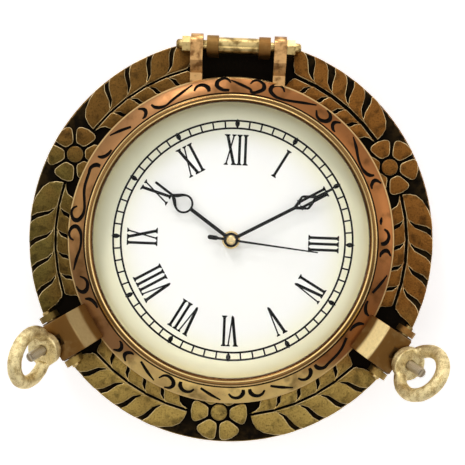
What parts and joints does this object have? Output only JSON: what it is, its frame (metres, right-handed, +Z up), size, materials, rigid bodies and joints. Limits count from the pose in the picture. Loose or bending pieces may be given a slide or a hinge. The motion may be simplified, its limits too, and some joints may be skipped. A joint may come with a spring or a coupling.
{
  "type": "porthole wall clock",
  "caption": "Round wall clock built like a brass ship's porthole, with a hinged glazed ring, swing bolts with ring nuts, a roman dial and a battery movement.",
  "frame": {"origin": "centre of the back cover's rear face, on the dial axis", "axes": "+Z up to twelve o'clock, -Y out of the dial towards the viewer, +X to three o'clock"},
  "size_m": [0.2556, 0.0848, 0.254],
  "materials": {
    "cast_brass": "antique cast brass, dark in the hollows",
    "door_brass": "antique brass with a copper tone, brushed",
    "nut_brass": "rough cast, bright",
    "fitting_brass": "turned, lightly tarnished",
    "bright_brass": "polished",
    "screw_steel": "plated",
    "cover_black": "satin black",
    "board_brown": "bare fibreboard",
    "dial_white": "white print, matt",
    "hand_black": "satin black",
    "window_glass": "clear",
    "seal_rubber": "matt black",
    "case_plastic": "fine matt black",
    "wheel_plastic": "natural moulded plastic",
    "stator_steel": "bare",
    "coil_copper": "enamelled copper wire",
    "board_green": "solder mask",
    "battery_wrap": "plain printed sleeve"
  },
  "bodies": {
    "frame": {"frame_casting": "cast_brass", "back_cover": "cover_black", "back_cover_screws": "screw_steel", "dial_board": "board_brown", "dial_face": "dial_white", "dial_clips": "cast_brass", "dial_clip_screws": "screw_steel", "hinge_pin": "fitting_brass", "hinge_spacer": "fitting_brass", "hinge_nuts": "fitting_brass", "dog_pin_right": "fitting_brass", "dog_pin_left": "fitting_brass", "movement_case_front": "case_plastic", "movement_case_back": "case_plastic", "shaft_bush": "bright_brass", "case_gasket": "seal_rubber", "bush_washer": "bright_brass", "bush_nut": "bright_brass", "stator": "stator_steel", "coil": "coil_copper", "circuit_board": "board_green", "quartz_crystal": "stator_steel", "battery": "battery_wrap", "battery_contacts": "screw_steel"},
    "port_light": {"door_casting": "door_brass", "door_glass": "window_glass", "glass_gasket": "seal_rubber", "glass_ring": "door_brass", "glass_ring_screws": "screw_steel"},
    "dog_right": {"dog_bolt_right": "fitting_brass"},
    "dog_left": {"dog_bolt_left": "fitting_brass"},
    "nut_right": {"ring_nut_right": "nut_brass"},
    "nut_left": {"ring_nut_left": "nut_brass"},
    "seconds": {"seconds_wheel": "wheel_plastic", "second_hand": "hand_black", "hand_cap": "bright_brass"},
    "minutes": {"minute_wheel": "wheel_plastic", "minute_hand": "hand_black"},
    "hours": {"hour_wheel": "wheel_plastic", "hour_hand": "hand_black"},
    "rotor": {"rotor": "wheel_plastic"},
    "intermediate": {"intermediate_wheel": "wheel_plastic"},
    "third": {"third_wheel": "wheel_plastic"},
    "setting": {"setting_wheel": "wheel_plastic", "setting_knob": "case_plastic"}
  },
  "joints": [
    {"name": "port_light_hinge", "type": "hinge", "parent": "frame", "child": "port_light", "pos_m": [0, -0.038, 0.12], "axis": [-1, 0, 0], "range_deg": [0, 110]},
    {"name": "dog_right_swing", "type": "hinge", "parent": "frame", "child": "dog_right", "pos_m": [0.10289, -0.0355, -0.06555], "axis": [0.5373, 0, 0.8434], "range_deg": [-26, 65]},
    {"name": "nut_right_turn", "type": "hinge", "parent": "dog_right", "child": "nut_right", "pos_m": [0.10289, -0.0355, -0.06555], "axis": [0.343, -0.9135, -0.2185], "continuous": true},
    {"name": "dog_left_swing", "type": "hinge", "parent": "frame", "child": "dog_left", "pos_m": [-0.10289, -0.0355, -0.06555], "axis": [0.5373, 0, -0.8434], "range_deg": [-26, 65]},
    {"name": "nut_left_turn", "type": "hinge", "parent": "dog_left", "child": "nut_left", "pos_m": [-0.10289, -0.0355, -0.06555], "axis": [-0.343, -0.9135, -0.2185], "continuous": true},
    {"name": "seconds_turn", "type": "hinge", "parent": "frame", "child": "seconds", "pos_m": [0, -0.01, 0], "axis": [0, -1, 0], "continuous": true},
    {"name": "minutes_turn", "type": "hinge", "parent": "frame", "child": "minutes", "pos_m": [0, -0.01, 0], "axis": [0, -1, 0], "continuous": true},
    {"name": "hours_turn", "type": "hinge", "parent": "frame", "child": "hours", "pos_m": [0, -0.01, 0], "axis": [0, -1, 0], "continuous": true},
    {"name": "rotor_turn", "type": "hinge", "parent": "frame", "child": "rotor", "pos_m": [0.0181, -0.01, 0.0073], "axis": [0, -1, 0], "continuous": true},
    {"name": "intermediate_turn", "type": "hinge", "parent": "frame", "child": "intermediate", "pos_m": [0.0108, -0.01, 0], "axis": [0, -1, 0], "continuous": true},
    {"name": "third_turn", "type": "hinge", "parent": "frame", "child": "third", "pos_m": [-0.00213, -0.01, 0.01205], "axis": [0, -1, 0], "continuous": true},
    {"name": "setting_turn", "type": "hinge", "parent": "frame", "child": "setting", "pos_m": [-0.01256, -0.01, 0.00336], "axis": [0, -1, 0], "continuous": true}
  ],
  "couplings": [
    {"joint": "minutes_turn", "follows": "seconds_turn", "ratio": 0.016667},
    {"joint": "hours_turn", "follows": "seconds_turn", "ratio": 0.0013889},
    {"joint": "rotor_turn", "follows": "seconds_turn", "ratio": 30},
    {"joint": "intermediate_turn", "follows": "seconds_turn", "ratio": -4},
    {"joint": "third_turn", "follows": "seconds_turn", "ratio": -0.13333},
    {"joint": "setting_turn", "follows": "seconds_turn", "ratio": -0.0055556}
  ]
}
